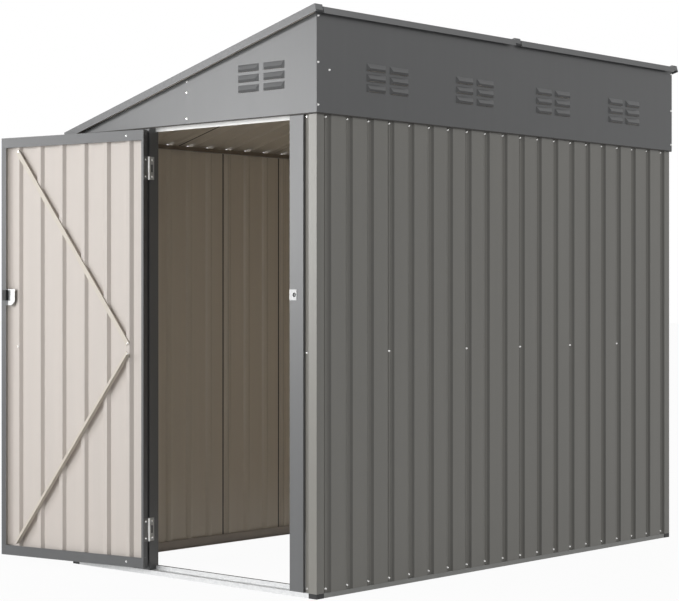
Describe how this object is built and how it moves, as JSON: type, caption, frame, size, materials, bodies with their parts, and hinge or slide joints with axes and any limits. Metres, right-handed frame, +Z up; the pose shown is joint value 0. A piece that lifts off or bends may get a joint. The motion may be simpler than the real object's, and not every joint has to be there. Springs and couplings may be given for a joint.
{
  "type": "metal storage shed",
  "caption": "Lean-to metal shed of corrugated sheet with a sloping roof, louvred fascia, galvanised base rails and a framed, braced door that swings outward from the narrow end.",
  "frame": {"origin": "on the ground under the middle of the front sill", "axes": "+X toward the high side wall, +Y from the door end to the back end, +Z up"},
  "size_m": [1.5598, 2.3993, 2.0096],
  "materials": {
    "galvanised": "galvanised, dull",
    "plastic_black": "moulded, dull",
    "wall_paint": "satin grey outside, cream inside",
    "trim_paint": "satin grey",
    "zinc": "zinc plated"
  },
  "bodies": {
    "shed": {"front_sill": "galvanised", "base_rail_right": "galvanised", "base_rail_left": "galvanised", "base_rail_back": "galvanised", "top_rail_right": "galvanised", "top_rail_left": "galvanised", "top_rail_back": "galvanised", "head_rail": "galvanised", "roof_beam": "galvanised", "corner_feet": "plastic_black", "corner_front_right": "wall_paint", "corner_front_left": "wall_paint", "corner_back_right": "wall_paint", "corner_back_left": "wall_paint", "wall_right": "wall_paint", "wall_left": "wall_paint", "wall_back": "wall_paint", "wall_front": "wall_paint", "jamb_lock": "trim_paint", "jamb_hinge": "trim_paint", "fascia_right": "trim_paint", "gable_front_high": "trim_paint", "gable_front_low": "trim_paint", "gable_back_high": "trim_paint", "gable_back_low": "trim_paint", "roof_sheets_front": "trim_paint", "roof_sheets_back": "trim_paint", "rake_trim_front": "trim_paint", "rake_trim_back": "trim_paint", "high_trim": "trim_paint", "joint_cap": "trim_paint", "strike_plate": "zinc", "jamb_hinges": "zinc"},
    "door": {"door_sheet": "wall_paint", "door_rail_top": "trim_paint", "door_rail_bottom": "trim_paint", "door_stile_hinge": "trim_paint", "door_stile_lock": "trim_paint", "door_brace_top": "wall_paint", "door_brace_bottom": "wall_paint", "door_hinges": "zinc", "door_lock_plate": "zinc", "door_lock": "plastic_black", "door_handle": "plastic_black"}
  },
  "joints": [
    {"name": "door_hinge", "type": "hinge", "parent": "shed", "child": "door", "pos_m": [-0.19878, -0.0343, 0.832], "axis": [0, 0, 1], "range_deg": [-3, 170.7]}
  ]
}
